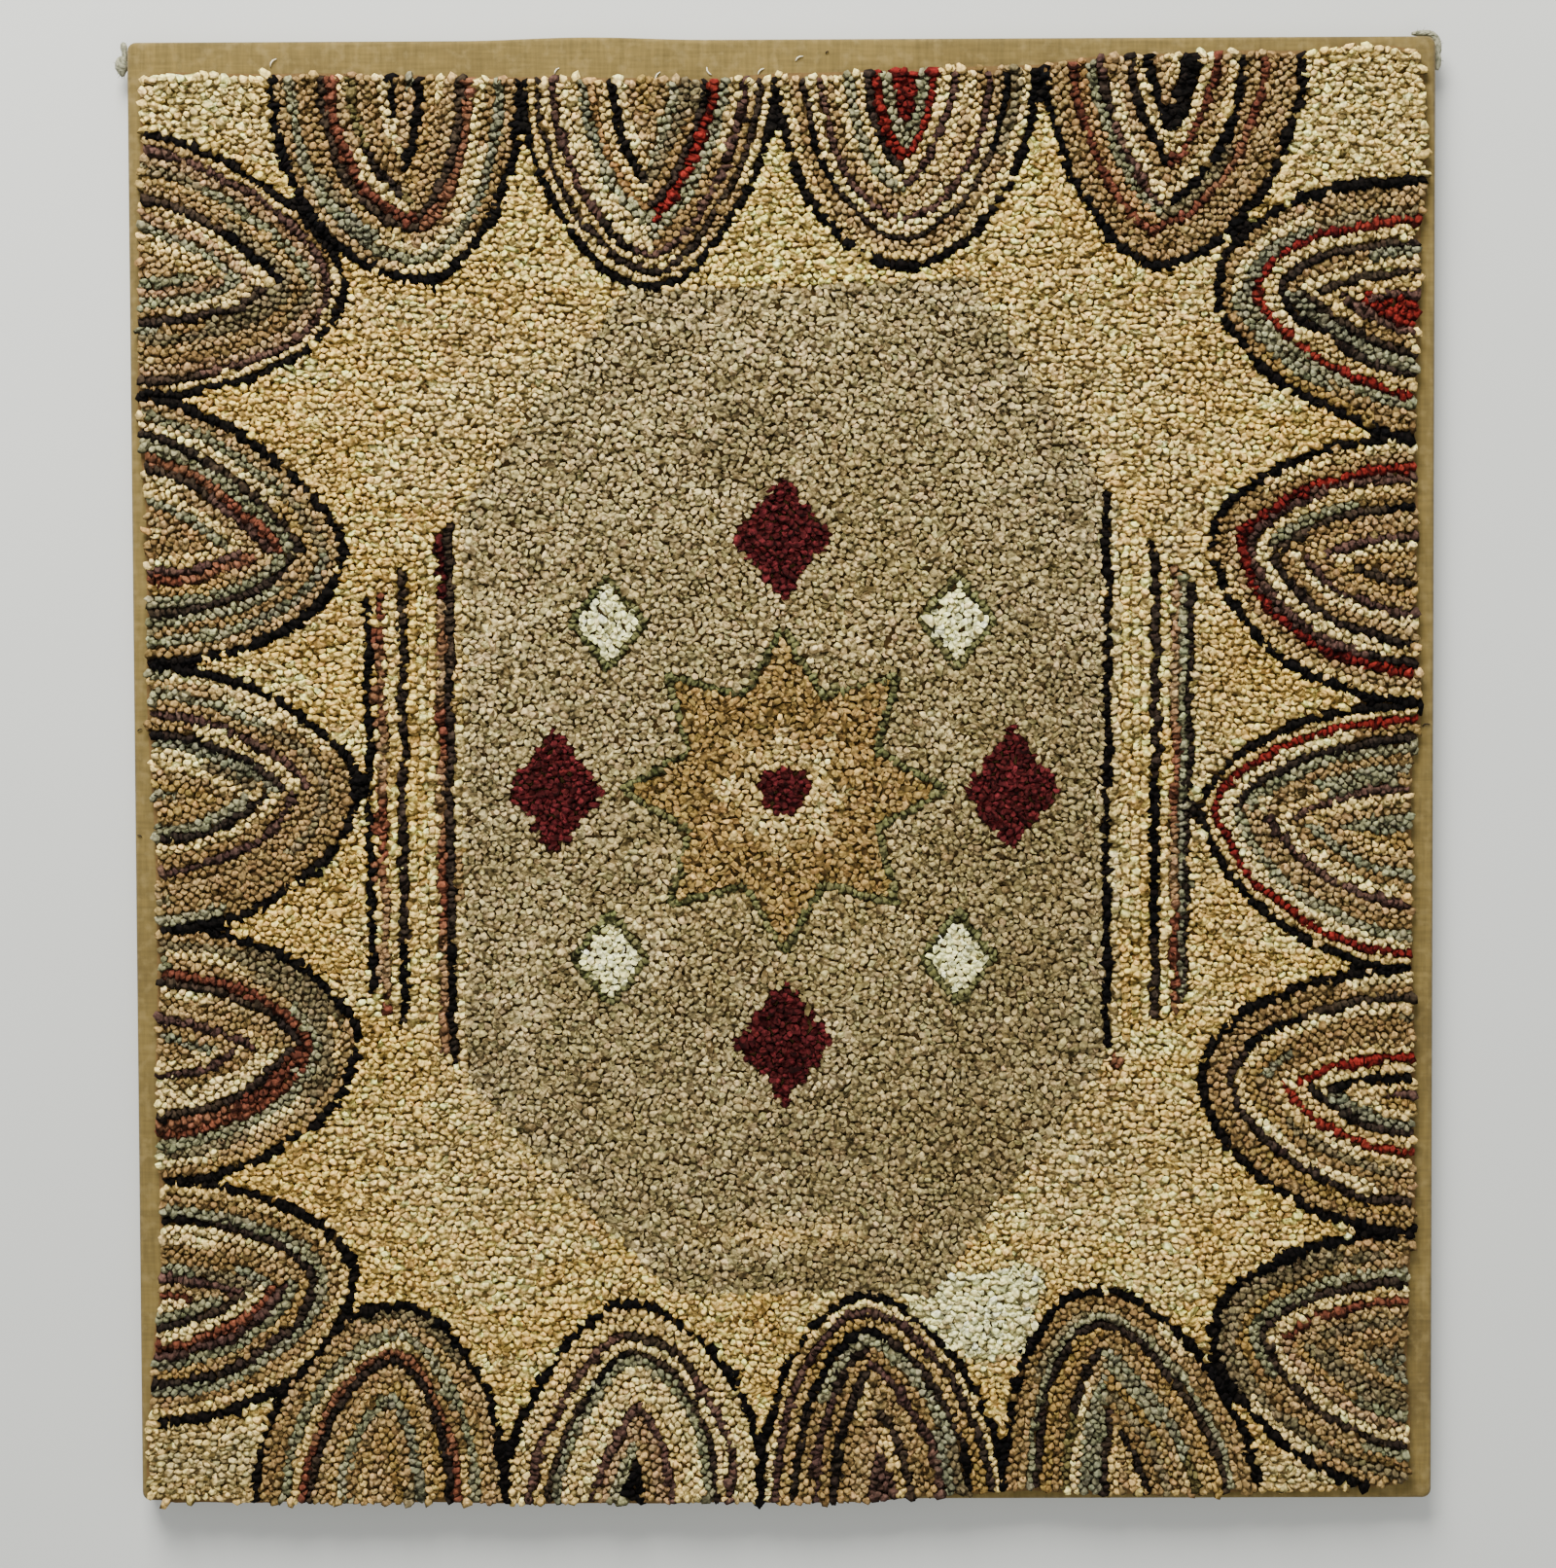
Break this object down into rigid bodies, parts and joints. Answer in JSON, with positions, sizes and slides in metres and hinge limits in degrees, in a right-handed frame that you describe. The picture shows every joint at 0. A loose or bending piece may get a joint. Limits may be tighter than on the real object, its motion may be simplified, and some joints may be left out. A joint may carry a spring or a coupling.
{
  "type": "hooked rug on a linen-covered strainer frame",
  "caption": "Flat hooked rag rug with tongue border and octagon centre, mounted on a linen-covered wooden strainer for hanging.",
  "frame": {"origin": "under the middle of the mount, at the level of the linen turned over its back", "axes": "+Y up the rug's face as it hangs, +Z out of the pile, +X to the right as it is looked at"},
  "size_m": [0.8861, 0.9848, 0.0307],
  "materials": {
    "rag_pile": "looped wool and cotton rag pile, matte",
    "linen": "plain unbleached linen, matte",
    "pine": "planed, unfinished",
    "grey_rag": "frayed grey-green cloth, matte"
  },
  "bodies": {
    "root": {"hooked_rug": "rag_pile", "linen_cover": "linen", "strainer_top": "pine", "strainer_bottom": "pine", "strainer_left": "pine", "strainer_right": "pine", "strainer_cross": "pine", "corner_knot": "grey_rag", "corner_fray": "grey_rag"}
  },
  "joints": []
}
